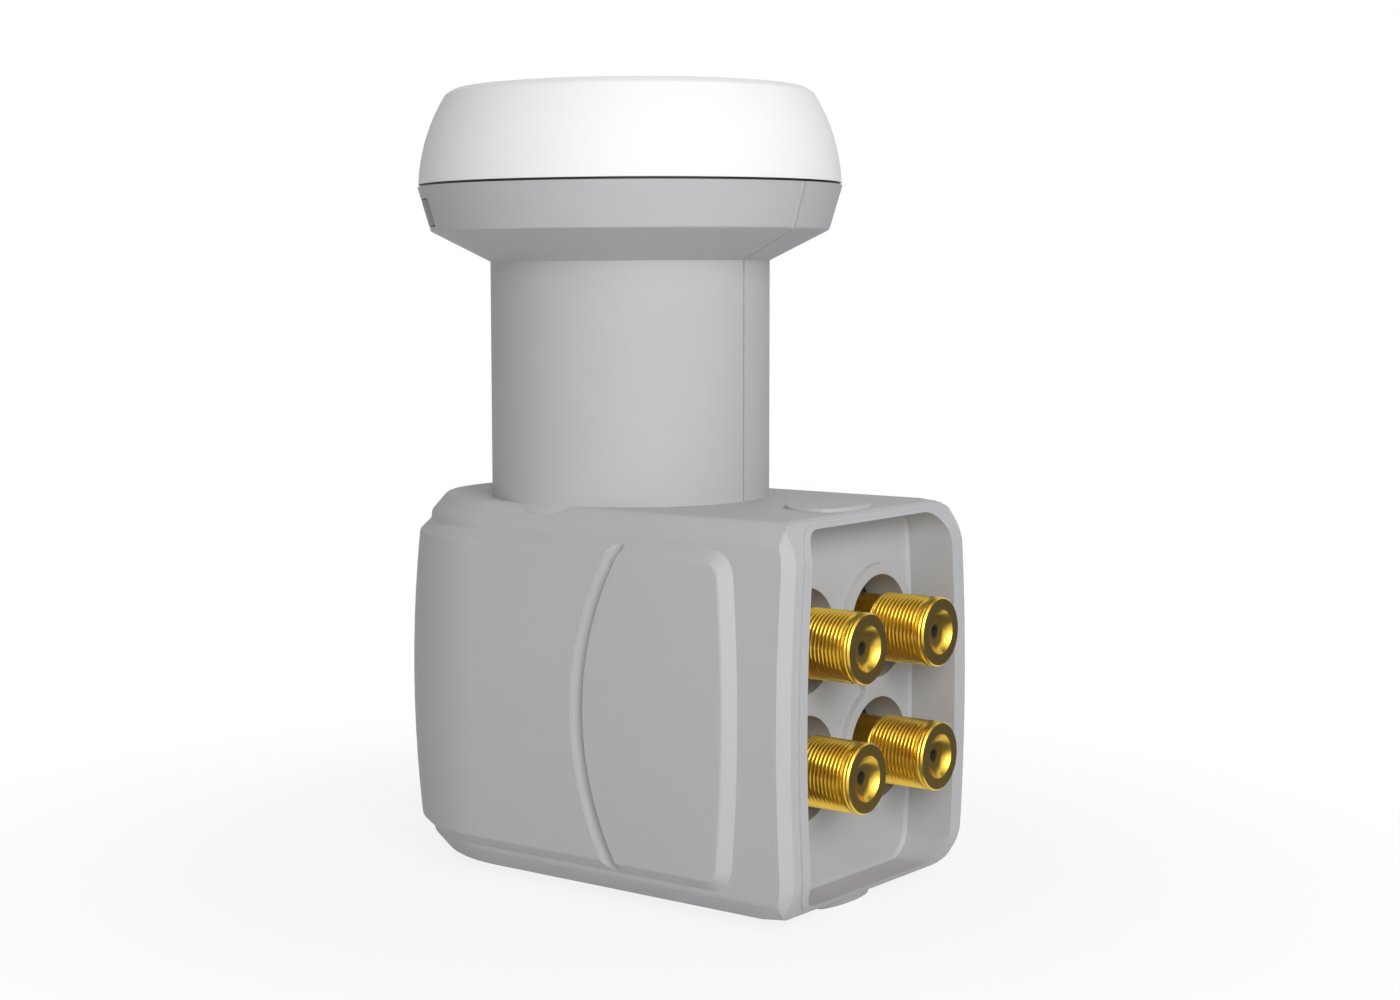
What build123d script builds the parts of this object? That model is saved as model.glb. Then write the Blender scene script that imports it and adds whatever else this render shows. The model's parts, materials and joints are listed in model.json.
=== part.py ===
from build123d import *
import os
from math import asin, cos, sin, sqrt

os.makedirs("parts", exist_ok=True)

# Satellite LNB with four F connectors. Sizes are in millimetres. The origin is on the neck's
# axis, level with the top face of the body. +Z runs up the neck to the cap, +X to the connectors.

# Body: round at one end, open at the other, with crowned sides
body_height = 52.4
body_half_width = 23.2
body_round_x = -9.5
body_rim_x = 43.2
shroud_length = 12.6
crown_height = 25.4
crown_radius = 205.0
edge_drop = 2.65
edge_inset = 2.25
edge_round = 1.2
wall = 1.6

# Raised panel round the body, with the groove that divides it on each side
panel_rise = 1.47
panel_top_margin = 3.85
panel_bottom_margin = 3.2
panel_rim_gap = 6.4
panel_end_bow = 3.2
panel_corner = 4.2
panel_round = 0.5
groove_width = 2.3
groove_depth = 1.2
groove_x = 9.73
groove_radius = 46.5

# Neck, in the standard diameter for a holder, and the flange under the cap
neck_radius = 20.0
neck_height = 33.5
neck_flare = 0.6
neck_flare_height = 1.1
neck_wall = 1.8
flange_foot_radius = 28.44
flange_foot_height = 4.3
flange_radius = 30.27
flange_height = 6.24
flange_wall = 1.85
flange_round = 0.4
horn_ledge_height = 1.1
horn_ledge_width = 2.0
rib_thickness = 1.5
rib_levels = (9.0, 27.0)

# Weather cap, its seal and the two latches
seal_height = 0.35
seal_inset = 0.35
cap_height = 14.2
cap_shoulder_height = 12.6
cap_shoulder_radius = 26.2
cap_bulge = 0.9
cap_crown_radius = 25.0
cap_crown_height = 13.3
cap_wall = 1.5
cap_round = 0.8
cap_skirt_depth = 3.2
cap_skirt_wall = 1.2
cap_skirt_gap = 0.35
latch_angle = 45.0
latch_sweep = 23.6
latch_height = 3.6
latch_level = 0.75
latch_depth = 1.4
latch_gap = 0.15

# Connector recess
recess_side_wall = 4.7
recess_depth = 7.4
recess_top_wall = 1.3
recess_bottom_wall = 1.3
recess_corner = 4.0
recess_floor = 1.6
recess_floor_bevel = 0.45
rim_chamfer = 1.36
rim_round = 1.25
rim_lip_width = 1.7
rim_lip_rise = 0.3
rim_lip_margin = 0.75
collar_radius = 8.7
collar_bore = 7.2
collar_height = 0.8
collar_waist_round = 1.0
boss_setback = 8.5
boss_radius = 6.5
boss_top_rise = 0.5
boss_bottom_rise = 1.6
boss_round = 0.4
seam_width = 0.3
seam_depth = 0.3
seam_half_length = 14.7

# Connectors
connector_spread = 18.34
connector_row_height = 17.18
connector_top_drop = 17.06
connector_radius = 4.76
connector_projection = 3.22
connector_bore = 3.1
connector_lip = 0.45
connector_dish = 0.69
connector_foot_step = 0.5
connector_foot_gap = 0.04
thread_ring_gap = 0.3
contact_radius = 0.8
contact_gap = 0.05
contact_hole = 0.75
contact_depth = 2.0
contact_leg_radius = 0.6
contact_reach = 4.4
contact_bend = 1.4
ring_radius = 6.6
ring_height = 1.6
ring_gap = 0.1

# Waveguide and feed horn
guide_radius = 8.75
guide_wall = 3.0
horn_joint_level = 4.0
horn_flare_height = 15.0
horn_mouth_radius = 11.2
choke_wall = 1.3
choke_count = 3
choke_depth = 5.6
choke_skirt_gap = 0.73
horn_plate = 1.6
horn_rim_gap = 0.3

# Casting, board and lid inside the body
casting_gap = 0.3
casting_side_gap = 1.6
casting_wall = 2.2
casting_end_wall = 4.0
casting_end_gap = 1.2
casting_roof = 2.6
casting_edge = 2.6
board_thickness = 1.0
board_ledge = 1.5
board_gap = 0.3
gasket_height = 0.6
gasket_inset = 0.4
cup_wall = 2.0
cup_depth = 6.5
lid_height = 3.4
lid_edge = 2.4
screw_radius = 1.5
screw_gap = 0.05
screw_play = 0.2
screw_head_radius = 2.6
screw_head_height = 1.7
screw_length = 9.0
screw_boss = 3.6
screw_rim = 0.3
screw_leg_gap = 0.4
screw_middle_x = -4.0
probe_radius = 0.65
probe_lift = 1.3
probe_room = 2.45
probe_reach = 5.35
probe_bend = 0.9
probe_slot = 2.4
pin_radius = 0.7
pin_lift = 4.0
pin_reach = 3.15
pin_tail = 1.2
shield_boss_gap = 1.95
shield_width = 20.0
shield_height = 7.0
shield_wall = 0.6
shield_gap = 1.4

# Levels and places that follow from the sizes
body_bottom = -body_height
crown_level = body_bottom + crown_height
neck_top = neck_height
flange_foot = neck_top + flange_foot_height
flange_top = flange_foot + flange_height
flange_rim_round = 0.85 * seal_inset
cap_base = flange_top + seal_height
shell_split_x = body_rim_x - shroud_length
panel_end_x = body_rim_x - panel_rim_gap
boss_x = body_rim_x - boss_setback
rim_band_x = body_rim_x - rim_lip_rise
recess_floor_x = body_rim_x - recess_depth
recess_half_width = body_half_width - recess_side_wall
rim_lip_half_width = recess_half_width + rim_lip_width
row_upper = -connector_top_drop
row_lower = row_upper - connector_row_height
board_level = (row_upper + row_lower) / 2
board_top = board_level + board_thickness / 2
board_bottom = board_level - board_thickness / 2
casting_top = -wall - casting_gap
lid_bottom = body_bottom + wall + casting_gap
lid_top = lid_bottom + lid_height
casting_rim = lid_top + gasket_height
casting_half_width = body_half_width - wall - casting_side_gap
casting_end_x = shell_split_x - casting_end_gap
guide_outer = guide_radius + guide_wall
foot_radius = connector_radius + connector_foot_step
thread_start_x = casting_end_x + ring_height + thread_ring_gap
round_axis = Axis((body_round_x, 0, 0), (0, 0, 1))
connector_sides = {"front": -connector_spread / 2, "rear": connector_spread / 2}
connector_rows = {"upper": row_upper, "lower": row_lower}
connector_centres = [(y, z) for y in connector_sides.values() for z in connector_rows.values()]


# Half width of the crowned side at a level
def side_reach(level, half_width):
    return half_width - crown_radius + sqrt(crown_radius ** 2 - (level - crown_level) ** 2)


# Half of the body's cross-section, from the middle plane to one crowned side
def half_section(half_width, top, bottom):
    upper = top - edge_drop
    lower = bottom + edge_drop
    upper_reach = side_reach(upper, half_width)
    lower_reach = side_reach(lower, half_width)
    with BuildLine() as outline:
        Polyline((0, bottom), (0, top), (upper_reach - edge_inset, top), (upper_reach, upper))
        ThreePointArc((upper_reach, upper), (half_width, crown_level), (lower_reach, lower))
        Polyline((lower_reach, lower), (lower_reach - edge_inset, bottom), (0, bottom))
    section = make_face(outline.edges())
    fillet(section.vertices().filter_by(lambda corner: corner.X > edge_inset), radius=edge_round)


# A crowned opening with rounded corners, as half of its cross-section
def half_opening(half_width, top, bottom, corner):
    top_reach = side_reach(top, half_width)
    bottom_reach = side_reach(bottom, half_width)
    with BuildLine() as outline:
        Polyline((0, bottom), (0, top), (top_reach, top))
        ThreePointArc((top_reach, top), (half_width, crown_level), (bottom_reach, bottom))
        Line((bottom_reach, bottom), (0, bottom))
    opening = make_face(outline.edges())
    fillet(opening.vertices().filter_by(lambda corner_point: corner_point.X > 0), radius=corner)


# Plan of the body: a round end and two straight sides
def round_ended_plan(half_width, end_x):
    with BuildLine() as outline:
        Polyline(
            (body_round_x, -half_width), (end_x, -half_width), (end_x, half_width),
            (body_round_x, half_width),
        )
        ThreePointArc(
            (body_round_x, half_width), (body_round_x - half_width, 0), (body_round_x, -half_width),
        )
    make_face(outline.edges())


# How far the panel's bevel rises before it meets the crowned face
def bevel_rise(edge_level, downwards):
    rise = panel_rise
    for _ in range(20):
        level = edge_level - rise if downwards else edge_level + rise
        rise = side_reach(level, body_half_width + panel_rise) - panel_foot
    return rise


# Radius of the flange's outer wall at a level
def flange_reach(level):
    share = (level - flange_foot) / flange_height
    return flange_foot_radius + share * (flange_radius - flange_foot_radius)


# Raised panel: its bevels rise at 45 degrees from the wall
panel_top = -panel_top_margin
panel_bottom = body_bottom + panel_bottom_margin
panel_foot = side_reach(panel_top, body_half_width)
panel_reach = body_half_width + panel_rise
top_rise = bevel_rise(panel_top, True)
bottom_rise = bevel_rise(panel_bottom, False)
panel_middle = (panel_top + panel_bottom) / 2
bevel_room = 0.5

groove_bit = (groove_width ** 2 / 4 + groove_depth ** 2) / (2 * groove_depth)
groove_lean = asin(groove_radius / crown_radius)
groove_inset = groove_depth - groove_bit
groove_centre = (
    groove_x + groove_radius * cos(groove_lean),
    -panel_reach + groove_inset + groove_radius * sin(groove_lean),
    crown_level,
)
groove_plane = Plane(
    origin=groove_centre, x_dir=(0, 0, 1), z_dir=(sin(groove_lean), -cos(groove_lean), 0)
)

with BuildPart() as flank_panel:
    with BuildSketch(Plane.YZ.offset(body_round_x)):
        with BuildLine():
            slab_top = side_reach(0, panel_reach)
            slab_bottom = side_reach(body_bottom, panel_reach)
            Polyline((-slab_bottom, body_bottom), (0, body_bottom), (0, 0), (-slab_top, 0))
            ThreePointArc(
                (-slab_top, 0), (-panel_reach, crown_level), (-slab_bottom, body_bottom)
            )
        make_face()
    extrude(amount=panel_end_x - body_round_x)
    with BuildSketch(Plane.XZ.offset(panel_foot)):
        with BuildLine():
            Polyline(
                (panel_end_x - panel_end_bow, panel_bottom), (body_round_x - panel_reach, panel_bottom),
                (body_round_x - panel_reach, panel_top), (panel_end_x - panel_end_bow, panel_top),
            )
            ThreePointArc(
                (panel_end_x - panel_end_bow, panel_top), (panel_end_x, panel_middle),
                (panel_end_x - panel_end_bow, panel_bottom),
            )
        panel_outline = make_face()
        fillet(panel_outline.vertices().group_by(Axis.X)[-1], radius=panel_corner)
    extrude(amount=panel_reach - panel_foot + bevel_room, taper=45, mode=Mode.INTERSECT)
    fillet(faces().sort_by(Axis.Y)[0].edges().sort_by(Axis.X)[1:], radius=panel_round)
    with BuildSketch(Plane.YZ.offset(shell_split_x)):
        half_section(body_half_width, 0, body_bottom)
        mirror(about=Plane.YZ)
    extrude(amount=body_rim_x - shell_split_x, mode=Mode.SUBTRACT)
    with Locations(groove_plane.location):
        Torus(groove_radius, groove_bit, mode=Mode.SUBTRACT)

# Shallow bosses over and under the body's end, crossed by the seam between shells and shroud
with BuildPart() as end_bosses:
    with BuildSketch(Plane.XY):
        with Locations((boss_x, 0)):
            Circle(boss_radius)
    extrude(amount=boss_top_rise)
    fillet(faces().sort_by(Axis.Z)[-1].edges(), radius=boss_round)
    with BuildSketch(Plane.XY.offset(body_bottom)):
        with Locations((boss_x, 0)):
            Circle(boss_radius)
    extrude(amount=-boss_bottom_rise)
    fillet(faces().sort_by(Axis.Z)[0].edges(), radius=boss_round)

# Housing: body, neck and flange as one form, which the two half shells share
ledge_level = flange_foot + horn_ledge_height
ledge_radius = flange_reach(ledge_level) - flange_wall - panel_rise / 4
cone_slope = flange_foot_height / (flange_foot_radius - neck_radius)
bore_radius = neck_radius - neck_wall
cone_bore_level = neck_top + cone_slope * neck_wall / 2
ledge_bore = ledge_radius - horn_ledge_width

with BuildPart() as housing:
    with BuildSketch(Plane.YZ.offset(body_round_x)):
        half_section(body_half_width, 0, body_bottom)
    revolve(axis=round_axis, revolution_arc=180)
    with BuildSketch(Plane.YZ.offset(body_round_x)):
        half_section(body_half_width, 0, body_bottom)
        mirror(about=Plane.YZ)
    extrude(amount=shell_split_x - body_round_x)
    with BuildSketch(Plane.YZ.offset(body_round_x)):
        with BuildLine():
            bevel_top = (panel_foot + top_rise, panel_top - top_rise)
            bevel_bottom = (panel_foot + bottom_rise, panel_bottom + bottom_rise)
            Polyline(bevel_bottom, (panel_foot, panel_bottom), (panel_foot, panel_top), bevel_top)
            ThreePointArc(bevel_top, (panel_reach, crown_level), bevel_bottom)
        bevel_profile = make_face()
        fillet(
            bevel_profile.vertices().filter_by(lambda corner: corner.X > panel_foot + panel_round),
            radius=panel_round,
        )
    revolve(axis=round_axis, revolution_arc=180)
    add(flank_panel.part)
    add(flank_panel.part.mirror(Plane.XZ))
    with BuildSketch(Plane.XZ):
        with BuildLine():
            Polyline(
                (0, -edge_drop), (neck_radius + neck_flare, -edge_drop),
                (neck_radius + neck_flare, -neck_flare_height), (neck_radius, 0),
                (neck_radius, neck_top), (flange_foot_radius, flange_foot), (flange_radius, flange_top),
                (0, flange_top), close=True,
            )
        flange_profile = make_face()
        fillet(flange_profile.vertices().group_by(Axis.Y)[-2], radius=flange_round)
        fillet(flange_profile.vertices().sort_by(Axis.X)[-1], radius=flange_rim_round)
    revolve(axis=Axis.Z)
    # Hollow of the body and of its round end
    with BuildSketch(Plane.YZ.offset(body_round_x)):
        half_section(body_half_width - wall, -wall, body_bottom + wall)
    revolve(axis=round_axis, revolution_arc=180, mode=Mode.SUBTRACT)
    with BuildSketch(Plane.YZ.offset(body_round_x)):
        half_section(body_half_width - wall, -wall, body_bottom + wall)
        mirror(about=Plane.YZ)
    extrude(amount=shell_split_x - body_round_x, mode=Mode.SUBTRACT)
    # Seam between the two shells, up the neck and flange
    with BuildSketch(Plane.XZ):
        with BuildLine():
            Polyline(
                (neck_radius - seam_depth, 0), (neck_radius - seam_depth, neck_top),
                (flange_foot_radius - seam_depth, flange_foot), (flange_radius - seam_depth, flange_top),
                (flange_radius + 1, flange_top), (flange_foot_radius + 1, flange_foot),
                (neck_radius + 1, neck_top), (neck_radius + 1, 0), close=True,
            )
        make_face()
        mirror(about=Plane.YZ)
    extrude(amount=seam_width / 2, both=True, mode=Mode.SUBTRACT)
    # Bore of the neck, ledge for the horn and pocket of the flange
    with BuildSketch(Plane.XZ):
        with BuildLine():
            Polyline(
                (0, -wall - edge_drop), (bore_radius, -wall - edge_drop), (bore_radius, cone_bore_level),
                (ledge_bore, ledge_level - horn_ledge_height), (ledge_bore, ledge_level),
                (ledge_radius, ledge_level), (flange_radius - flange_wall, flange_top),
                (0, flange_top), close=True,
            )
        make_face()
    revolve(axis=Axis.Z, mode=Mode.SUBTRACT)
    # Ribs that steady the waveguide in the neck
    for rib_level in rib_levels:
        with BuildSketch(Plane.XY.offset(rib_level)):
            Circle(neck_radius - neck_wall / 2)
            Circle(guide_outer + casting_gap, mode=Mode.SUBTRACT)
        extrude(amount=rib_thickness)
    # Windows for the latches
    for side in (0, 180):
        window_plane = Plane.XZ.rotated((0, 0, latch_angle + side - latch_sweep / 2))
        with BuildSketch(window_plane):
            with BuildLine():
                low = flange_foot + latch_level - latch_gap
                high = flange_foot + latch_level + latch_height + latch_gap
                Polyline(
                    (ledge_radius - flange_wall, low), (flange_radius + flange_wall, low),
                    (flange_radius + flange_wall, high), (ledge_radius - flange_wall, high), close=True,
                )
            make_face()
        revolve(axis=Axis.Z, revolution_arc=latch_sweep, mode=Mode.SUBTRACT)
    # Part of the bosses on this side of the seam
    add(end_bosses.part.split(Plane.YZ.offset(shell_split_x), keep=Keep.BOTTOM))
    # Seam line, half of it in the shells
    with BuildSketch(Plane.XY.offset(-seam_depth)):
        with Locations((shell_split_x, 0)):
            Rectangle(seam_width, 2 * seam_half_length)
    extrude(amount=seam_depth + boss_top_rise, mode=Mode.SUBTRACT)

with BuildPart() as front_shell:
    add(housing.part)
    split(bisect_by=Plane.XZ, keep=Keep.TOP)

with BuildPart() as rear_shell:
    add(housing.part)
    split(bisect_by=Plane.XZ, keep=Keep.BOTTOM)

# Connector shroud: the end of the body, with the recess and the collars round the connectors
with BuildPart() as connector_shroud:
    with BuildSketch(Plane.YZ.offset(shell_split_x)):
        half_section(body_half_width, 0, body_bottom)
        mirror(about=Plane.YZ)
    extrude(amount=rim_band_x - shell_split_x)
    # Chamfers down the rim's sides, which follow the crown
    for side in (-1, 1):
        with BuildSketch(Plane.XY.offset(crown_level)):
            with BuildLine():
                Polyline(
                    (rim_band_x, side * (body_half_width - rim_chamfer)),
                    (rim_band_x, side * (body_half_width + rim_chamfer)),
                    (rim_band_x - 2 * rim_chamfer, side * (body_half_width + rim_chamfer)), close=True,
                )
            make_face()
        crown_centre = (rim_band_x, side * (body_half_width - crown_radius), crown_level)
        revolve(axis=Axis(crown_centre, (1, 0, 0)), mode=Mode.SUBTRACT)
    with BuildSketch(Plane.YZ.offset(rim_band_x)):
        half_opening(
            rim_lip_half_width, -rim_lip_margin, body_bottom + rim_lip_margin, recess_corner + wall
        )
        mirror(about=Plane.YZ)
    extrude(amount=rim_lip_rise)
    # Rounded edges along the rim's top and bottom, in which the lip dies out
    with BuildSketch(Plane.XZ):
        with Locations((body_rim_x, 0)):
            Rectangle(rim_round, rim_round, align=(Align.MAX, Align.MAX))
        with Locations((body_rim_x, body_bottom)):
            Rectangle(rim_round, rim_round, align=(Align.MAX, Align.MIN))
        with Locations(
            (body_rim_x - rim_round, -rim_round), (body_rim_x - rim_round, body_bottom + rim_round)
        ):
            Circle(rim_round, mode=Mode.SUBTRACT)
    extrude(amount=body_half_width, both=True, mode=Mode.SUBTRACT)
    # Hollow behind the floor
    with BuildSketch(Plane.YZ.offset(shell_split_x)):
        half_section(body_half_width - wall, -wall, body_bottom + wall)
        mirror(about=Plane.YZ)
    extrude(amount=recess_floor_x - recess_floor - shell_split_x, mode=Mode.SUBTRACT)
    # Recess, with a small bevel round its floor
    with BuildSketch(Plane.YZ.offset(recess_floor_x + recess_floor_bevel)) as recess_opening:
        half_opening(
            recess_half_width, -recess_top_wall, body_bottom + recess_bottom_wall, recess_corner
        )
        mirror(about=Plane.YZ)
    extrude(amount=recess_depth - recess_floor_bevel, mode=Mode.SUBTRACT)
    extrude(recess_opening.sketch, amount=-recess_floor_bevel, taper=45, mode=Mode.SUBTRACT)
    # Collars, which run back to the casting as sleeves
    with BuildSketch(Plane.YZ.offset(casting_end_x)) as collar_plan:
        with Locations(*connector_centres):
            Circle(collar_radius)
        waist = collar_plan.vertices().filter_by(
            lambda corner: abs(corner.Y - board_level) < collar_waist_round
        )
        fillet(waist, radius=collar_waist_round)
    extrude(amount=recess_floor_x + collar_height - casting_end_x)
    with BuildSketch(Plane.YZ.offset(casting_end_x)):
        with Locations(*connector_centres):
            Circle(collar_bore)
    extrude(amount=recess_floor_x + collar_height - casting_end_x, mode=Mode.SUBTRACT)
    add(end_bosses.part.split(Plane.YZ.offset(shell_split_x), keep=Keep.TOP))
    with BuildSketch(Plane.XY.offset(-seam_depth)):
        with Locations((shell_split_x, 0)):
            Rectangle(seam_width, 2 * seam_half_length)
    extrude(amount=seam_depth + boss_top_rise, mode=Mode.SUBTRACT)

# Cap: a shallow dome whose skirt goes down inside the flange
skirt_bottom = cap_base - cap_skirt_depth
skirt_share = (skirt_bottom - ledge_level) / (flange_top - ledge_level)
pocket_mouth = flange_radius - flange_wall
pocket_at_skirt = ledge_radius + skirt_share * (pocket_mouth - ledge_radius)
skirt_radius = min(pocket_at_skirt, pocket_mouth) - cap_skirt_gap
cap_rim_radius = flange_radius - seal_inset / 3
dome_rise = cap_height - cap_crown_height
dome_radius = (cap_crown_radius ** 2 + dome_rise ** 2) / (2 * dome_rise)


# Point on the domed top of the cap, or as deep under it as the given wall
def dome_point(radius, depth):
    sphere = dome_radius - depth
    return (radius, cap_base + cap_height - dome_radius + sqrt(sphere ** 2 - radius ** 2))


with BuildPart() as radome_cap:
    with BuildSketch(Plane.XZ):
        with BuildLine():
            rim = (cap_rim_radius, cap_base)
            shoulder = (cap_shoulder_radius, cap_base + cap_shoulder_height)
            bulge = (
                (cap_rim_radius + cap_shoulder_radius) / 2 + cap_bulge, cap_base + cap_shoulder_height / 2
            )
            crown = (cap_crown_radius, cap_base + cap_crown_height)
            Polyline((0, cap_base), rim)
            ThreePointArc(rim, bulge, shoulder)
            Line(shoulder, crown)
            ThreePointArc(crown, dome_point(cap_crown_radius / 2, 0), dome_point(0, 0))
            Line(dome_point(0, 0), (0, cap_base))
        cap_profile = make_face()
        shoulder_level = cap_base + cap_shoulder_height - cap_round
        cap_corners = cap_profile.vertices().filter_by(
            lambda corner: corner.X > cap_round and corner.Y > shoulder_level
        )
        fillet(cap_corners, radius=cap_round)
    revolve(axis=Axis.Z)
    with BuildSketch(Plane.XZ):
        with BuildLine():
            inner_low = (cap_rim_radius - cap_wall, cap_base + cap_wall)
            inner_high = (cap_shoulder_radius - cap_wall, cap_base + cap_shoulder_height - cap_wall / 2)
            Polyline((0, cap_base + cap_wall), inner_low)
            ThreePointArc(inner_low, (bulge[0] - cap_wall, bulge[1]), inner_high)
            inner_crown = dome_point(cap_crown_radius - cap_wall, cap_wall)
            Line(inner_high, inner_crown)
            ThreePointArc(inner_crown, dome_point(cap_crown_radius / 2, cap_wall), dome_point(0, cap_wall))
            Line(dome_point(0, cap_wall), (0, cap_base + cap_wall))
        make_face()
    revolve(axis=Axis.Z, mode=Mode.SUBTRACT)
    with BuildSketch(Plane.XY.offset(skirt_bottom)):
        Circle(skirt_radius)
    extrude(amount=cap_skirt_depth)
    with BuildSketch(Plane.XY.offset(skirt_bottom)):
        Circle(skirt_radius - cap_skirt_wall)
    extrude(amount=cap_skirt_depth + cap_wall, mode=Mode.SUBTRACT)

with BuildPart() as cap_seal:
    with BuildSketch(Plane.XY.offset(flange_top)):
        Circle(flange_radius - seal_inset)
        Circle(pocket_mouth, mode=Mode.SUBTRACT)
    extrude(amount=seal_height)


# Latch in its window
def cap_latch(name, side):
    sweep = latch_sweep - 2 * latch_gap
    low = flange_foot + latch_level
    high = low + latch_height
    with BuildPart() as latch:
        with BuildSketch(Plane.XZ.rotated((0, 0, latch_angle + side - sweep / 2))):
            with BuildLine():
                Polyline(
                    (flange_reach(low) - latch_depth, low), (flange_reach(low), low),
                    (flange_reach(high), high), (flange_reach(high) - latch_depth, high), close=True,
                )
            make_face()
        revolve(axis=Axis.Z, revolution_arc=sweep)
    latch.part.label = name
    return latch.part


# Feed horn: the waveguide opens into a flare, with choke rings standing on a plate round it
horn_seat = ledge_level
choke_floor = horn_seat + horn_plate
choke_top = choke_floor + choke_depth
choke_reach = skirt_radius - cap_skirt_wall - choke_skirt_gap
choke_pitch = (choke_reach - choke_wall - horn_mouth_radius) / choke_count

with BuildPart() as feed_horn:
    with BuildSketch(Plane.XZ):
        with BuildLine():
            Polyline(
                (guide_radius, horn_joint_level), (guide_outer, horn_joint_level),
                (guide_outer, horn_seat), (ledge_radius - horn_rim_gap, horn_seat),
                (ledge_radius - horn_rim_gap, choke_floor), (horn_mouth_radius + choke_wall, choke_floor),
                (horn_mouth_radius + choke_wall, choke_top), (horn_mouth_radius, choke_top),
                (guide_radius, choke_top - horn_flare_height), close=True,
            )
        make_face()
    revolve(axis=Axis.Z)
    for ring in range(1, choke_count + 1):
        with BuildSketch(Plane.XY.offset(choke_floor)):
            Circle(horn_mouth_radius + ring * choke_pitch + choke_wall)
            Circle(horn_mouth_radius + ring * choke_pitch, mode=Mode.SUBTRACT)
        extrude(amount=choke_depth)

# Casting: waveguide tube and the chamber for the board, open at the bottom
casting_height = casting_top - casting_rim
screw_y = casting_half_width - lid_edge - screw_head_radius - screw_rim
chamber_end_x = casting_end_x - casting_end_wall
leg_x = chamber_end_x - contact_reach
screw_corner_x = leg_x - contact_leg_radius - screw_leg_gap - screw_boss
screw_end_x = body_round_x - screw_y
screw_centres = [
    (screw_corner_x, -screw_y), (screw_corner_x, screw_y), (screw_middle_x, -screw_y),
    (screw_middle_x, screw_y), (screw_end_x, 0),
]
chamber_half_width = casting_half_width - casting_wall
probe_level = board_top + probe_lift
probe_foot = guide_outer + probe_room
probe_tip = guide_radius - probe_reach
pin_level = board_top + pin_lift
pin_tip = guide_radius - pin_reach

with BuildPart() as casting:
    with BuildSketch(Plane.XY.offset(casting_rim)):
        round_ended_plan(casting_half_width, casting_end_x)
    extrude(amount=casting_height)
    chamfer(faces().sort_by(Axis.Z)[-1].edges(), length=casting_edge)
    with BuildSketch(Plane.XY.offset(casting_rim)):
        round_ended_plan(chamber_half_width, chamber_end_x)
    extrude(amount=board_top - casting_rim, mode=Mode.SUBTRACT)
    with BuildSketch(Plane.XY.offset(board_top)):
        round_ended_plan(chamber_half_width - board_ledge, chamber_end_x - board_ledge)
    extrude(amount=casting_top - casting_roof - board_top, mode=Mode.SUBTRACT)
    with BuildSketch(Plane.XY.offset(board_top)):
        Circle(guide_outer)
    extrude(amount=horn_joint_level - board_top)
    with BuildSketch(Plane.XY.offset(casting_rim)):
        with Locations(*screw_centres):
            Circle(screw_boss)
    extrude(amount=board_top - casting_rim)
    with BuildSketch(Plane.XY.offset(board_top)):
        Circle(guide_radius)
    extrude(amount=horn_joint_level - board_top, mode=Mode.SUBTRACT)
    with BuildSketch(Plane.XY.offset(casting_rim)):
        with Locations(*screw_centres):
            Circle(screw_radius + screw_gap)
    extrude(amount=screw_length, mode=Mode.SUBTRACT)
    with BuildSketch(Plane.YZ.offset(chamber_end_x - board_ledge)):
        with Locations(*connector_centres):
            Circle(foot_radius + connector_foot_gap)
    extrude(amount=casting_end_wall + board_ledge, mode=Mode.SUBTRACT)
    # Slots at the foot of the tube for the two probes, and the hole for the isolation pin
    with BuildSketch(Plane.XY.offset(board_top)):
        with Locations((guide_outer / 2 + guide_radius / 2, 0)):
            Rectangle(2 * guide_wall, probe_slot)
        with Locations((0, -guide_outer / 2 - guide_radius / 2)):
            Rectangle(probe_slot, 2 * guide_wall)
    extrude(amount=probe_slot, mode=Mode.SUBTRACT)
    with BuildSketch(Plane.XZ.rotated((0, 0, latch_angle)).offset(guide_radius / 2)):
        with Locations((0, pin_level)):
            Circle(pin_radius)
    extrude(amount=guide_outer, mode=Mode.SUBTRACT)

with BuildPart() as circuit_board:
    with BuildSketch(Plane.XY.offset(board_bottom)):
        round_ended_plan(chamber_half_width - board_gap, chamber_end_x - board_gap)
        Circle(guide_radius, mode=Mode.SUBTRACT)
        with Locations(*screw_centres):
            Circle(screw_boss + board_gap, mode=Mode.SUBTRACT)
    extrude(amount=board_thickness)

# Screening frame on the underside of the board, at the round end
shield_near = -guide_outer - shield_gap
shield_far = screw_end_x + screw_boss + shield_boss_gap
shield_length = shield_near - shield_far
shield_x = (shield_near + shield_far) / 2
with BuildPart() as shield_frame:
    with BuildSketch(Plane.XY.offset(board_bottom - shield_height)):
        with Locations((shield_x, 0)):
            Rectangle(shield_length, shield_width)
            with GridLocations(0, shield_width / 2 - shield_wall / 4, 1, 2):
                Rectangle(
                    shield_length - 2 * shield_wall, shield_width / 2 - 1.5 * shield_wall,
                    mode=Mode.SUBTRACT,
                )
    extrude(amount=shield_height)

# Lid with the short-circuit cup that closes the waveguide behind the board
with BuildPart() as casting_lid:
    with BuildSketch(Plane.XY.offset(lid_bottom)):
        round_ended_plan(casting_half_width, casting_end_x)
    extrude(amount=lid_top - lid_bottom)
    chamfer(faces().sort_by(Axis.Z)[0].edges(), length=lid_edge)
    with BuildSketch(Plane.XY.offset(lid_top)):
        Circle(guide_radius + cup_wall)
    extrude(amount=board_bottom - lid_top)
    with BuildSketch(Plane.XY.offset(board_bottom)):
        Circle(guide_radius)
    extrude(amount=-cup_depth, mode=Mode.SUBTRACT)
    with Locations(*[Plane.XY.rotated((180, 0, 0)).offset(-lid_bottom).location * Pos(x, y)
                     for x, y in screw_centres]):
        CounterBoreHole(screw_radius + screw_play, screw_head_radius + screw_play, screw_head_height)

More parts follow.
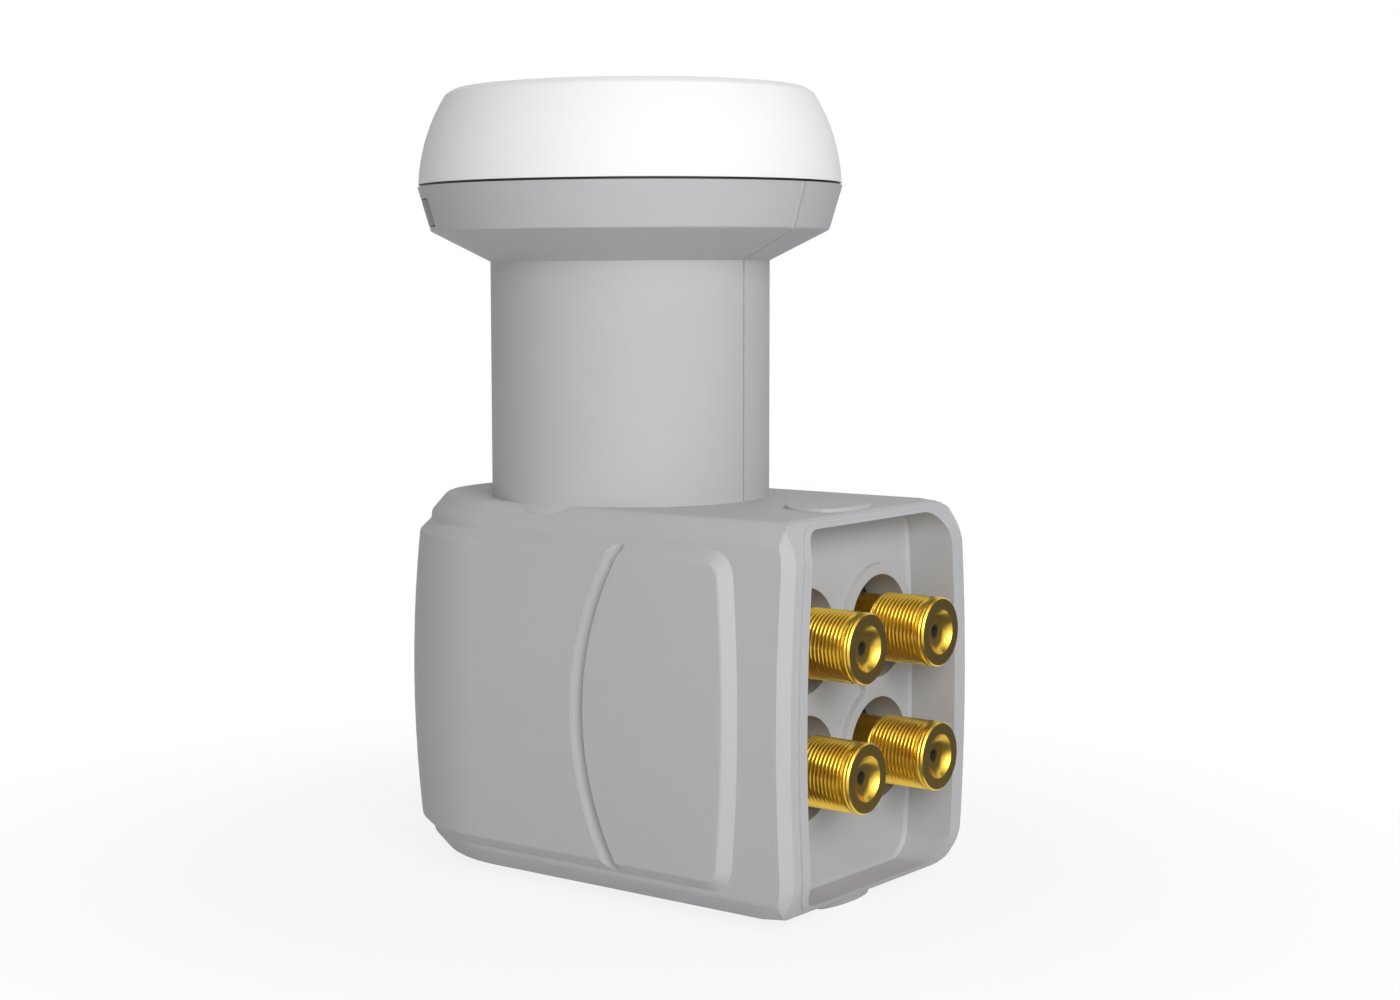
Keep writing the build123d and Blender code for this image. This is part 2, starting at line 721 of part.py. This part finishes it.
with BuildPart() as lid_gasket:
    with BuildSketch(Plane.XY.offset(lid_top)):
        round_ended_plan(casting_half_width - gasket_inset, casting_end_x - gasket_inset)
    extrude(amount=gasket_height)
    with BuildSketch(Plane.XY.offset(lid_top)):
        round_ended_plan(chamber_half_width, chamber_end_x)
    extrude(amount=gasket_height, mode=Mode.SUBTRACT)
    with BuildSketch(Plane.XY.offset(lid_top)):
        with Locations(*screw_centres):
            Circle(screw_boss)
    extrude(amount=gasket_height)
    with BuildSketch(Plane.XY.offset(lid_top)):
        with Locations(*screw_centres):
            Circle(screw_radius + screw_play)
    extrude(amount=gasket_height, mode=Mode.SUBTRACT)

with BuildPart() as lid_screws:
    with BuildSketch(Plane.XY.offset(lid_bottom)):
        with Locations(*screw_centres):
            Circle(screw_head_radius)
    extrude(amount=screw_head_height)
    with BuildSketch(Plane.XY.offset(lid_bottom + screw_head_height)):
        with Locations(*screw_centres):
            Circle(screw_radius)
    extrude(amount=casting_rim + screw_length - lid_bottom - screw_head_height)

# Probes: bent pins that stand on the board and reach through the slots into the waveguide
with BuildPart() as probe_horizontal:
    with BuildLine():
        probe_path = FilletPolyline(
            (probe_foot, 0, board_top), (probe_foot, 0, probe_level), (probe_tip, 0, probe_level),
            radius=probe_bend,
        )
    with BuildSketch(Plane.XY.offset(board_top)):
        with Locations((probe_foot, 0)):
            Circle(probe_radius)
    sweep(path=probe_path)

with BuildPart() as probe_vertical:
    add(probe_horizontal.part.rotate(Axis.Z, -90))

with BuildPart() as isolation_pin:
    with BuildSketch(Plane.XZ.rotated((0, 0, latch_angle)).offset(pin_tip)):
        with Locations((0, pin_level)):
            Circle(pin_radius)
    extrude(amount=guide_outer + pin_tail - pin_tip)

# Sealing rings on the casting, round the foot of each connector
with BuildPart() as connector_seals:
    with BuildSketch(Plane.YZ.offset(casting_end_x)):
        with Locations(*connector_centres):
            Circle(ring_radius)
            Circle(foot_radius + ring_gap, mode=Mode.SUBTRACT)
    extrude(amount=ring_height)

connector_tip_x = body_rim_x + connector_projection
dish_x = connector_tip_x - connector_dish
bore_end_x = dish_x - contact_depth


# One connector: barrel, insulator and centre contact about a line along X
def connector(name, y, z):
    with BuildPart() as barrel:
        with BuildSketch(Plane.YZ.offset(thread_start_x)):
            with Locations((y, z)):
                Circle(connector_radius)
        extrude(amount=connector_tip_x - thread_start_x)
        chamfer(faces().sort_by(Axis.X)[-1].edges(), length=connector_lip)
        with BuildSketch(Plane.YZ.offset(chamber_end_x)):
            with Locations((y, z)):
                Circle(foot_radius)
        extrude(amount=thread_start_x - chamber_end_x)
        with BuildSketch(Plane.YZ.offset(chamber_end_x)):
            with Locations((y, z)):
                Circle(connector_bore)
        extrude(amount=connector_tip_x - chamber_end_x, mode=Mode.SUBTRACT)
    with BuildPart() as insulator:
        with BuildSketch(Plane.YZ.offset(chamber_end_x)):
            with Locations((y, z)):
                Circle(connector_bore)
                Circle(contact_radius + contact_gap, mode=Mode.SUBTRACT)
        extrude(amount=bore_end_x - chamber_end_x)
        with BuildSketch(Plane.YZ.offset(bore_end_x)):
            with Locations((y, z)):
                Circle(connector_bore)
                Circle(contact_hole, mode=Mode.SUBTRACT)
        extrude(amount=contact_depth)
    board_face = board_top if z > board_level else board_bottom
    with BuildPart() as contact:
        with BuildLine():
            contact_path = FilletPolyline(
                (leg_x, y, board_face), (leg_x, y, z), (chamber_end_x, y, z), radius=contact_bend,
            )
        with BuildSketch(Plane.XY.offset(board_face)):
            with Locations((leg_x, y)):
                Circle(contact_leg_radius)
        sweep(path=contact_path)
        with BuildSketch(Plane.YZ.offset(chamber_end_x)):
            with Locations((y, z)):
                Circle(contact_radius)
        extrude(amount=bore_end_x - contact_gap - chamber_end_x)
    barrel.part.label = "connector_" + name
    insulator.part.label = "insulator_" + name
    contact.part.label = "contact_" + name
    return [barrel.part, insulator.part, contact.part]


front_shell.part.label = "front_shell"
rear_shell.part.label = "rear_shell"
connector_shroud.part.label = "connector_shroud"
radome_cap.part.label = "radome_cap"
cap_seal.part.label = "cap_seal"
feed_horn.part.label = "feed_horn"
casting.part.label = "casting"
casting_lid.part.label = "casting_lid"
lid_gasket.part.label = "lid_gasket"
lid_screws.part.label = "lid_screws"
circuit_board.part.label = "circuit_board"
shield_frame.part.label = "shield_frame"
probe_horizontal.part.label = "probe_horizontal"
probe_vertical.part.label = "probe_vertical"
isolation_pin.part.label = "isolation_pin"
connector_seals.part.label = "connector_seals"

pieces = [
    front_shell.part, rear_shell.part, connector_shroud.part, radome_cap.part, cap_seal.part,
    cap_latch("cap_latch_rear", 0), cap_latch("cap_latch_front", 180), feed_horn.part, casting.part,
    casting_lid.part, lid_gasket.part, lid_screws.part, circuit_board.part, shield_frame.part,
    probe_horizontal.part, probe_vertical.part, isolation_pin.part, connector_seals.part,
]
for side_name, side_y in connector_sides.items():
    for row_name, row_z in connector_rows.items():
        pieces += connector(row_name + "_" + side_name, side_y, row_z)

for piece in pieces:
    export_step(piece, "parts/" + piece.label + ".step")
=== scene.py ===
import json
import math
import bmesh
import bpy
from mathutils import Matrix, Vector


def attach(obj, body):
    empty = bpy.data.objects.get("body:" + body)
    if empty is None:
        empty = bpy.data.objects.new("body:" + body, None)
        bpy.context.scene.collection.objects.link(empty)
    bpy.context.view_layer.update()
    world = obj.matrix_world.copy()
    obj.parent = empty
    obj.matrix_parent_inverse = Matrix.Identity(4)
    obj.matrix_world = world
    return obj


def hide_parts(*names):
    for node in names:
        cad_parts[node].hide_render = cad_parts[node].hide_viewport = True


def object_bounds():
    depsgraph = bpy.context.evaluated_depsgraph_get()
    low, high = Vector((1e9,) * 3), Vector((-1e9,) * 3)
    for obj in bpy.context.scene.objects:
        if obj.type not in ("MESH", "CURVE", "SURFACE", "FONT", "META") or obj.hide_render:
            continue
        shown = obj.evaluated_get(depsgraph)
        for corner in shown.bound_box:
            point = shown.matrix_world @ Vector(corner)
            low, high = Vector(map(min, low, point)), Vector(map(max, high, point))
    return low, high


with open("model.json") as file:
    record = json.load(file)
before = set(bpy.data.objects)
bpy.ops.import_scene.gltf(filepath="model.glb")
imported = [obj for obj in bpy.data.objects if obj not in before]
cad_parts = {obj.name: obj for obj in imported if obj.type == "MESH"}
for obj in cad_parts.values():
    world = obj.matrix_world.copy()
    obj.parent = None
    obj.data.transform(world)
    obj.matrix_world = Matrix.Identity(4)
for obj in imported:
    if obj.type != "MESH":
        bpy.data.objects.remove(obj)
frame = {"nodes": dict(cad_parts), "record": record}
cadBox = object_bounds()
mm = 0.001
print("frame loaded:", len(frame["nodes"]), "nodes")

# Camera, fitted to the neck, cap, body and connectors
cameraSetup = {
    "yaw": 38.879, "pitch": 5.546, "roll": -0.272,   # degrees; yaw turns the view from +Y towards -X
    "distance": 341.108, "side": -4.539, "rise": -0.97,   # mm, measured in the camera's own axes
    "imageWidth": 1400, "imageHeight": 1000,   # pixels, as the three values below
    "focalPixels": 2355.85, "centreX": 599.4, "centreY": 500.35,
    "sensorWidth": 36, "clipStart": 0.01, "clipEnd": 20,   # mm, m and m
}


def makeCamera():
    yaw, pitch, roll = (math.radians(cameraSetup[key]) for key in ("yaw", "pitch", "roll"))
    forward = Vector((-math.sin(yaw) * math.cos(pitch), math.cos(yaw) * math.cos(pitch), -math.sin(pitch)))
    flatRight = Vector((math.cos(yaw), math.sin(yaw), 0))
    flatUp = flatRight.cross(forward)
    right = math.cos(roll) * flatRight + math.sin(roll) * flatUp
    up = -math.sin(roll) * flatRight + math.cos(roll) * flatUp
    place = -cameraSetup["distance"] * forward + cameraSetup["side"] * right + cameraSetup["rise"] * up
    lens = bpy.data.cameras.new("camera")
    camera = bpy.data.objects.new("camera", lens)
    bpy.context.scene.collection.objects.link(camera)
    turn = Matrix((right, up, -forward)).transposed().to_4x4()
    camera.matrix_world = Matrix.Translation(place * mm) @ turn
    width = cameraSetup["imageWidth"]
    lens.sensor_width = cameraSetup["sensorWidth"]
    lens.lens = cameraSetup["focalPixels"] / width * lens.sensor_width
    lens.shift_x = (width / 2 - cameraSetup["centreX"]) / width
    lens.shift_y = (cameraSetup["centreY"] - cameraSetup["imageHeight"] / 2) / width
    lens.clip_start = cameraSetup["clipStart"]
    lens.clip_end = cameraSetup["clipEnd"]
    bpy.context.scene.camera = camera
    print("camera placed")


# Lights, world and floor
studio = {
    "worldStrength": 0.28,   # on the object; the camera sees it at 1
    "floorSize": 8.0,   # m
    "floorColour": (0.85, 0.85, 0.85),
    "floorGlow": 0.85,   # share of the near floor that the camera sees as plain white
    "glowNear": 0.04, "glowFar": 0.13,   # m from the middle, between which that share rises to 1
    "lights": {   # place and size in metres, power in watts
        "frontLight": {"place": (0.72, -0.604, 0.342), "size": 0.55, "power": 5.6},
        "sideLight": {"place": (0.837, -0.224, 0.5), "size": 0.5, "power": 1.4},
        "topLight": {"place": (0.0, 0.1, 1.2), "size": 0.9, "power": 1.5},
    },
}


def nodeTree(owner):
    owner.use_nodes = True
    tree = owner.node_tree
    tree.nodes.clear()
    return tree


# 1 for camera, mirror and glass rays, which see the white background
def seenDirectly(tree, paths):
    seen = paths.outputs["Is Camera Ray"]
    for ray in ("Is Glossy Ray", "Is Transmission Ray"):
        higher = tree.nodes.new("ShaderNodeMath")
        higher.operation = "MAXIMUM"
        tree.links.new(seen, higher.inputs[0])
        tree.links.new(paths.outputs[ray], higher.inputs[1])
        seen = higher.outputs[0]
    return seen


def makeFloor():
    bpy.ops.mesh.primitive_plane_add(size=studio["floorSize"], location=(0, 0, cadBox[0].z))
    floor = bpy.context.object
    floor.name = "floor"
    material = bpy.data.materials.new("paleFloor")
    tree = nodeTree(material)
    out = tree.nodes.new("ShaderNodeOutputMaterial")
    matte = tree.nodes.new("ShaderNodeBsdfDiffuse")
    matte.inputs["Color"].default_value = (*studio["floorColour"], 1)
    white = tree.nodes.new("ShaderNodeEmission")
    paths = tree.nodes.new("ShaderNodeLightPath")
    coordinates = tree.nodes.new("ShaderNodeTexCoord")
    away = tree.nodes.new("ShaderNodeVectorMath")
    away.operation = "LENGTH"
    glow = tree.nodes.new("ShaderNodeMapRange")
    glow.interpolation_type = "SMOOTHSTEP"
    glow.inputs["From Min"].default_value = studio["glowNear"]
    glow.inputs["From Max"].default_value = studio["glowFar"]
    glow.inputs["To Min"].default_value = studio["floorGlow"]
    share = tree.nodes.new("ShaderNodeMath")
    share.operation = "MULTIPLY"
    mix = tree.nodes.new("ShaderNodeMixShader")
    tree.links.new(coordinates.outputs["Object"], away.inputs[0])
    tree.links.new(away.outputs["Value"], glow.inputs["Value"])
    tree.links.new(seenDirectly(tree, paths), share.inputs[0])
    tree.links.new(glow.outputs[0], share.inputs[1])
    tree.links.new(share.outputs[0], mix.inputs["Fac"])
    tree.links.new(matte.outputs[0], mix.inputs[1])
    tree.links.new(white.outputs[0], mix.inputs[2])
    tree.links.new(mix.outputs[0], out.inputs["Surface"])
    floor.data.materials.append(material)
    print("floor laid")


def makeWorld():
    world = bpy.data.worlds.new("studioWorld")
    bpy.context.scene.world = world
    tree = nodeTree(world)
    out = tree.nodes.new("ShaderNodeOutputWorld")
    back = tree.nodes.new("ShaderNodeBackground")
    back.inputs["Color"].default_value = (1, 1, 1, 1)   # white
    paths = tree.nodes.new("ShaderNodeLightPath")
    strength = tree.nodes.new("ShaderNodeMapRange")
    strength.inputs["To Min"].default_value = studio["worldStrength"]
    tree.links.new(seenDirectly(tree, paths), strength.inputs["Value"])
    tree.links.new(strength.outputs[0], back.inputs["Strength"])
    tree.links.new(back.outputs[0], out.inputs["Surface"])
    print("world lit")


def makeLights():
    for name, values in studio["lights"].items():
        lamp = bpy.data.lights.new(name, "AREA")
        lamp.shape = "DISK"
        lamp.size = values["size"]
        lamp.energy = values["power"]
        light = bpy.data.objects.new(name, lamp)
        bpy.context.scene.collection.objects.link(light)
        light.location = values["place"]
        light.rotation_mode = "QUATERNION"
        light.rotation_quaternion = (-light.location).to_track_quat("-Z", "Y")   # aimed at the origin
    print("lights hung:", ", ".join(studio["lights"]))


# Finishes, with the size of the grain and the depth of its bump in mm
finishes = {
    "greyPlastic": {
        "colour": (0.495, 0.5, 0.507), "roughness": 0.6, "metal": 0.0, "specular": 0.25,
        "grainSize": 0.5, "bumpDepth": 0.02,
    },
    "whitePlastic": {
        "colour": (0.88, 0.88, 0.88), "roughness": 0.65, "metal": 0.0, "specular": 0.25,
        "grainSize": 0.6, "bumpDepth": 0.02,
    },
    "darkPlastic": {
        "colour": (0.12, 0.12, 0.12), "roughness": 0.5, "metal": 0.0, "specular": 0.5,
        "grainSize": 0.4, "bumpDepth": 0.05,
    },
    "blackRubber": {
        "colour": (0.015, 0.015, 0.015), "roughness": 0.6, "metal": 0.0, "specular": 0.4,
        "grainSize": 0.4, "bumpDepth": 0.05,
    },
    "castMetal": {
        "colour": (0.55, 0.55, 0.56), "roughness": 0.45, "metal": 1.0, "specular": 0.5,
        "grainSize": 0.6, "bumpDepth": 0.1,
    },
    "screwSteel": {
        "colour": (0.55, 0.55, 0.56), "roughness": 0.3, "metal": 1.0, "specular": 0.5,
        "grainSize": 0.3, "bumpDepth": 0.03,
    },
    "boardGreen": {
        "colour": (0.05, 0.22, 0.1), "roughness": 0.35, "metal": 0.0, "specular": 0.5,
        "grainSize": 1.5, "bumpDepth": 0.03,
    },
    "goldPlate": {
        "colour": (0.79, 0.52, 0.07), "roughness": 0.3, "metal": 1.0, "specular": 0.5,
        "grainSize": 0.3, "bumpDepth": 0.001,
    },
    "oliveInsulator": {
        "colour": (0.042, 0.036, 0.019), "roughness": 0.45, "metal": 0.0, "specular": 0.4,
        "grainSize": 0.4, "bumpDepth": 0.03,
    },
}
slotFinish = {   # finish for each of the record's material slots
    "grey_plastic": "greyPlastic", "white_plastic": "whitePlastic", "dark_plastic": "darkPlastic",
    "black_rubber": "blackRubber", "cast_metal": "castMetal", "screw_steel": "screwSteel",
    "board_green": "boardGreen", "gold_plate": "goldPlate", "olive_insulator": "oliveInsulator",
}
surfaceDetail = {   # shared by all finishes
    "tintSpread": 0.03, "roughnessSpread": 0.1,   # each way from the finish's own value
    "cloudScale": 45, "cloudDetail": 2, "grainDetail": 3, "bumpStrength": 0.5,
}


def makeFinish(name, finish):
    material = bpy.data.materials.new(name)
    tree = nodeTree(material)
    out = tree.nodes.new("ShaderNodeOutputMaterial")
    shader = tree.nodes.new("ShaderNodeBsdfPrincipled")
    shader.inputs["Metallic"].default_value = finish["metal"]
    shader.inputs["Specular IOR Level"].default_value = finish["specular"]
    coordinates = tree.nodes.new("ShaderNodeTexCoord")
    grain = tree.nodes.new("ShaderNodeTexNoise")
    grain.inputs["Scale"].default_value = 1 / (finish["grainSize"] * mm)
    grain.inputs["Detail"].default_value = surfaceDetail["grainDetail"]
    cloud = tree.nodes.new("ShaderNodeTexNoise")
    cloud.inputs["Scale"].default_value = surfaceDetail["cloudScale"]
    cloud.inputs["Detail"].default_value = surfaceDetail["cloudDetail"]
    tint = tree.nodes.new("ShaderNodeMix")
    tint.data_type = "RGBA"
    darker, lighter = 1 - surfaceDetail["tintSpread"], 1 + surfaceDetail["tintSpread"]
    tint.inputs[6].default_value = (*(darker * part for part in finish["colour"]), 1)   # A
    tint.inputs[7].default_value = (*(min(1, lighter * part) for part in finish["colour"]), 1)   # B
    gloss = tree.nodes.new("ShaderNodeMapRange")
    gloss.inputs["To Min"].default_value = finish["roughness"] * (1 - surfaceDetail["roughnessSpread"])
    gloss.inputs["To Max"].default_value = finish["roughness"] * (1 + surfaceDetail["roughnessSpread"])
    bump = tree.nodes.new("ShaderNodeBump")
    bump.inputs["Strength"].default_value = surfaceDetail["bumpStrength"]
    bump.inputs["Distance"].default_value = finish["bumpDepth"] * mm
    for texture in (grain, cloud):
        tree.links.new(coordinates.outputs["Object"], texture.inputs["Vector"])
    tree.links.new(cloud.outputs["Fac"], tint.inputs[0])
    tree.links.new(tint.outputs[2], shader.inputs["Base Color"])
    tree.links.new(grain.outputs["Fac"], gloss.inputs["Value"])
    tree.links.new(gloss.outputs[0], shader.inputs["Roughness"])
    tree.links.new(grain.outputs["Fac"], bump.inputs["Height"])
    tree.links.new(bump.outputs["Normal"], shader.inputs["Normal"])
    tree.links.new(shader.outputs[0], out.inputs["Surface"])
    return material


materials = {name: makeFinish(name, finish) for name, finish in finishes.items()}
print("finishes made:", len(materials))


def dressNodes():
    for part in frame["record"]["subparts"]:
        node = frame["nodes"][part["node"]]
        material = materials[slotFinish[part["material_slot"]]]
        if not node.material_slots:
            node.data.materials.append(material)
        for slot in node.material_slots:
            slot.material = material


# Connectors: gold barrels with a cut thread and a dished end, and in each an insulator round the pin hole
connectorShape = {   # mm, with X along the connector's axis
    "rows": {"upper": -17.06, "lower": -34.24}, "sides": {"front": -9.17, "rear": 9.17},   # Z and Y
    "footX": 25.4, "ringX": 31.3, "threadX": 37.2, "threadEndX": 45.25, "lipX": 45.35, "tipX": 46.42,
    "footRadius": 5.26, "outerRadius": 4.76, "rootRadius": 4.34, "shankRadius": 4.55, "boreRadius": 3.1,
    "pitch": 0.6, "crest": 1.15, "slope": 1.3,   # thread; its crest is cut flat at 1
    "runIn": 1.0, "runOut": 0.5,   # ends of the thread, in pitches
    "pitchSteps": 8, "turnSteps": 72,
    "lip": 0.22, "lipRise": 0.1, "endWall": 0.45,   # bevels of the end ring, wall behind the dish
    "beadX": 45.85, "beadWidth": 0.16, "beadDepth": 0.1,   # fine groove round the end ring
    "dishRadius": 3.05, "dishFlat": 1.45, "dishFloor": 1.0, "dishDepth": 1.0, "dishSteps": 8,
    "noseSink": 0.05, "play": 0.02,   # insulator against the barrel
    "contactX": 43.73, "contactBore": 0.85, "pinRadius": 0.75,
}
weldGap = 0.0005   # mm, for points that belong together
sharpAngle = 24   # degrees, above which an edge is shown sharp


# Closes the profile and turns it about X
def turnProfile(profile, steps):
    turned = bmesh.new()
    points = [turned.verts.new((x, 0, radius)) for x, radius in profile]
    edges = [turned.edges.new((points[i - 1], points[i])) for i in range(len(points))]
    bmesh.ops.spin(
        turned, geom=points + edges, cent=(0, 0, 0), axis=(1, 0, 0), angle=2 * math.pi, steps=steps,
        use_merge=True,
    )
    bmesh.ops.remove_doubles(turned, verts=turned.verts, dist=weldGap)
    bmesh.ops.recalc_face_normals(turned, faces=turned.faces)
    return turned


def cutThread(barrel, shape):
    start, end, pitch, root = (shape[key] for key in ("threadX", "threadEndX", "pitch", "rootRadius"))
    depth = shape["outerRadius"] - root
    for point in barrel.verts:
        x, y, z = point.co
        radius = math.hypot(y, z)
        if radius < (shape["boreRadius"] + root) / 2 or not start < x < end:   # inside, or off the thread
            continue
        turn = math.atan2(z, y) / (2 * math.pi)
        away = abs((x / pitch - turn + 0.5) % 1 - 0.5) * 2   # 0 on the crest, 1 in the root
        rise = min(1, max(0, shape["crest"] - shape["slope"] * away))
        ends = min(1, (x - start) / (shape["runIn"] * pitch), (end - x) / (shape["runOut"] * pitch))
        target = root + depth * rise * ends
        point.co.y *= target / radius
        point.co.z *= target / radius


# Makes an object of a form drawn in mm, and puts it in place of the CAD node
def finishPiece(form, name, slotName, replaced, y=0, z=0):
    bmesh.ops.translate(form, verts=form.verts, vec=(0, y, z))
    bmesh.ops.scale(form, verts=form.verts, vec=(mm, mm, mm))
    for face in form.faces:
        face.smooth = True
    for edge in form.edges:
        if len(edge.link_faces) == 2 and edge.calc_face_angle() > math.radians(sharpAngle):
            edge.smooth = False
    mesh = bpy.data.meshes.new(name)
    form.to_mesh(mesh)
    form.free()
    piece = bpy.data.objects.new(name, mesh)
    bpy.context.scene.collection.objects.link(piece)
    mesh.materials.append(materials[slotFinish[slotName]])
    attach(piece, "root")
    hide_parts(replaced)
    return piece


def barrelProfile(shape):
    tip, lip, outer = shape["tipX"], shape["lip"], shape["outerRadius"]
    profile = [
        (shape["footX"], shape["boreRadius"]), (shape["footX"], shape["footRadius"]),
        (shape["ringX"], shape["footRadius"]), (shape["ringX"], shape["shankRadius"]),
    ]
    length = shape["threadEndX"] - shape["threadX"]
    rows = round(length / shape["pitch"] * shape["pitchSteps"])
    for row in range(rows + 1):
        radius = shape["shankRadius"] if row == 0 else shape["rootRadius"]
        profile.append((shape["threadX"] + length * row / rows, radius))
    bead, width, rise = shape["beadX"], shape["beadWidth"], shape["lipRise"]
    profile += [
        (shape["lipX"], outer - rise), (shape["lipX"] + rise, outer), (bead - width, outer),
        (bead, outer - shape["beadDepth"]), (bead + width, outer), (tip - lip, outer), (tip, outer - lip),
    ]
    floor = tip - shape["dishDepth"]
    for step in range(shape["dishSteps"] + 1):   # bowl of the dish, flat at its middle
        out = 1 - step / shape["dishSteps"]
        radius = shape["dishFlat"] + out * (shape["dishRadius"] - shape["dishFlat"])
        profile.append((floor + shape["dishDepth"] * out ** 2, radius))
    back = floor - shape["endWall"]
    return profile + [(floor, shape["dishFloor"]), (back, shape["dishFloor"]), (back, shape["boreRadius"])]


def insulatorProfile(shape):
    floor, play = shape["tipX"] - shape["dishDepth"], shape["play"]
    back, front = floor - shape["endWall"] - play, floor - shape["noseSink"]
    sleeve, nose = shape["boreRadius"] - play, shape["dishFloor"] - play
    return [
        (shape["footX"], shape["contactBore"]), (shape["footX"], sleeve), (back, sleeve), (back, nose),
        (front, nose), (front, shape["pinRadius"]), (shape["contactX"], shape["pinRadius"]),
        (shape["contactX"], shape["contactBore"]),
    ]


def makeConnectors():
    shape = connectorShape
    for rowName, z in shape["rows"].items():
        for sideName, y in shape["sides"].items():
            place = rowName + "_" + sideName
            barrel = turnProfile(barrelProfile(shape), shape["turnSteps"])
            cutThread(barrel, shape)
            finishPiece(barrel, "barrel_" + place, "gold_plate", "connector_" + place, y, z)
            insulator = turnProfile(insulatorProfile(shape), shape["turnSteps"] // 2)
            finishPiece(insulator, "dielectric_" + place, "olive_insulator", "insulator_" + place, y, z)
    print("connectors turned:", len(shape["rows"]) * len(shape["sides"]))


# Connector shroud: the solid's shape, its rim swept back at top and bottom and rounded at the outer corners
sweptRim = {   # mm
    "rimX": 43.2, "startX": 37.0, "top": 0.0, "bottom": -52.4,   # the changes grow from startX to rimX
    "zone": 5.6, "fullAt": 4.3, "depth": 2.0, "power": 1.6,   # depth is reached fullAt from the zone's start
    "cornerRadius": 4.2,
    "halfWidth": 23.2, "crownZ": -27.0, "crownRadius": 205.0,   # crowned sides, as in the solid
    "cutsX": (37.0, 39.0, 40.5, 41.5, 42.2, 42.9),   # extra edges, so that the rim can bend
    "cutsY": (17.3, 18.3, 19.2, 20.0, 20.7, 21.2),
    "cutsIn": (0.12, 0.35, 0.7, 1.1, 1.5, 2.0, 2.6, 3.3, 4.1, 5.6),   # from top and bottom
    "weld": 0.001,   # the solid's loose triangles are joined first
}


def sweepRim(shell, rim):
    corner = rim["cornerRadius"]
    for point in shell.verts:
        x, y, z = (part / mm for part in point.co)
        fromEnd = min(rim["top"] - z, z - rim["bottom"])
        inward = rim["zone"] - fromEnd
        if x <= rim["startX"] or inward <= 0:
            continue
        along = (x - rim["startX"]) / (rim["rimX"] - rim["startX"])
        point.co.x -= rim["depth"] * (inward / rim["fullAt"]) ** rim["power"] * along * mm
        crown = (z - rim["crownZ"]) ** 2 / (2 * rim["crownRadius"])
        outward, rise = abs(y) - (rim["halfWidth"] - crown - corner), corner - fromEnd
        reach = math.hypot(outward, rise)   # from the middle of the corner's arc
        if rise > 0 and outward > 0 and reach > corner:
            drawIn = along * (1 - corner / reach)
            point.co.y -= math.copysign(outward * drawIn, y) * mm
            point.co.z -= math.copysign(rise * drawIn, z - rim["crownZ"]) * mm


def makeShroud():
    rim = sweptRim
    shell = bmesh.new()
    shell.from_mesh(frame["nodes"]["connector_shroud"].data)
    bmesh.ops.remove_doubles(shell, verts=shell.verts, dist=rim["weld"] * mm)
    cuts = [((x, 0, 0), (1, 0, 0)) for x in rim["cutsX"]]
    cuts += [((0, side * y, 0), (0, 1, 0)) for y in rim["cutsY"] for side in (-1, 1)]
    cuts += [((0, 0, rim["top"] - depth), (0, 0, 1)) for depth in rim["cutsIn"]]
    cuts += [((0, 0, rim["bottom"] + depth), (0, 0, 1)) for depth in rim["cutsIn"]]
    startX = rim["startX"] * mm
    for place, direction in cuts:
        front = [face for face in shell.faces if max(point.co.x for point in face.verts) > startX]
        edges = {edge for face in front for edge in face.edges}
        points = {point for face in front for point in face.verts}
        bmesh.ops.bisect_plane(
            shell, geom=list(points) + list(edges) + front, dist=weldGap * mm,
            plane_co=[part * mm for part in place], plane_no=direction,
        )
    bmesh.ops.triangulate(shell, faces=[face for face in shell.faces if len(face.verts) > 4])
    sweepRim(shell, rim)
    bmesh.ops.scale(shell, verts=shell.verts, vec=(1 / mm, 1 / mm, 1 / mm))   # to mm, as finishPiece takes it
    piece = finishPiece(shell, "swept_shroud", "grey_plastic", "connector_shroud")
    even = piece.modifiers.new("evenShading", "WEIGHTED_NORMAL")
    even.keep_sharp = True
    print("shroud swept:", len(piece.data.polygons), "faces")


# Dark cards beside, under and over the object, which only reflections show
cards = {   # place and size in metres; a card that isn't aimed at the object lies flat
    "sideCard": {
        "place": (0.17, 0.2, 0.0), "size": (0.34, 0.2), "colour": (0.09, 0.1, 0.22), "aimed": True,
    },
    "lowCard": {
        "place": (0.19, 0.14, -0.053), "size": (0.26, 0.34), "colour": (0.09, 0.1, 0.22), "aimed": False,
    },
    "overCard": {
        "place": (0.05, 0.12, 0.3), "size": (0.36, 0.36), "colour": (0.1, 0.1, 0.1), "aimed": True,
    },
}


def makeCards():
    for name, values in cards.items():
        bpy.ops.mesh.primitive_plane_add(size=1, location=values["place"])
        card = bpy.context.object
        card.name = name
        card.scale = (*values["size"], 1)
        if values["aimed"]:
            card.rotation_mode = "QUATERNION"
            card.rotation_quaternion = (-card.location).to_track_quat("Z", "Y")
        card.visible_camera = False
        card.visible_diffuse = False
        card.visible_shadow = False
        card.visible_transmission = False
        material = bpy.data.materials.new(name)
        tree = nodeTree(material)
        out = tree.nodes.new("ShaderNodeOutputMaterial")
        glow = tree.nodes.new("ShaderNodeEmission")
        glow.inputs["Color"].default_value = (*values["colour"], 1)
        tree.links.new(glow.outputs[0], out.inputs["Surface"])
        card.data.materials.append(material)
    print("cards set:", ", ".join(cards))


makeCamera()
makeFloor()
makeWorld()
makeLights()
dressNodes()
makeConnectors()
makeShroud()
makeCards()

bpy.context.scene.view_settings.view_transform = "Standard"
